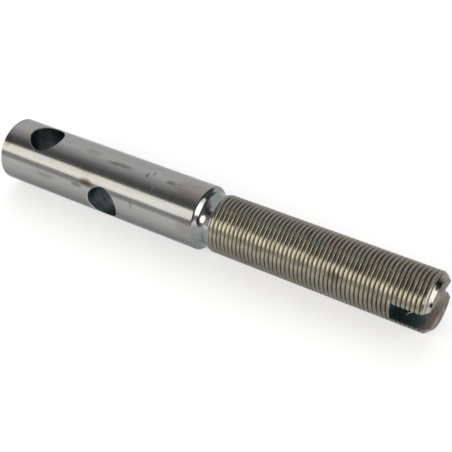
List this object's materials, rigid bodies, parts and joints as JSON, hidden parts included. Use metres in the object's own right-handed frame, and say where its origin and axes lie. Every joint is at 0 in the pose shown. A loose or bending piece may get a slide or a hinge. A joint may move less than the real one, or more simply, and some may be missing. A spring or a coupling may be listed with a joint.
{
  "type": "tie rod",
  "caption": "Turned steel tie rod with a cross-drilled round head, a sloping shoulder and a long fine-threaded shank slotted across its end.",
  "frame": {"origin": "centre of the end cross hole, on the rod's axis", "axes": "+X along the rod from the plain head towards the slotted threaded end, +Z along the end cross hole, +Y completes the frame and runs along the middle cross hole and the slot"},
  "size_m": [0.164, 0.022, 0.022],
  "materials": {
    "turned_steel": "satin turned and ground steel, polished at the shoulder"
  },
  "bodies": {
    "root": {"tie_rod": "turned_steel"}
  },
  "joints": []
}
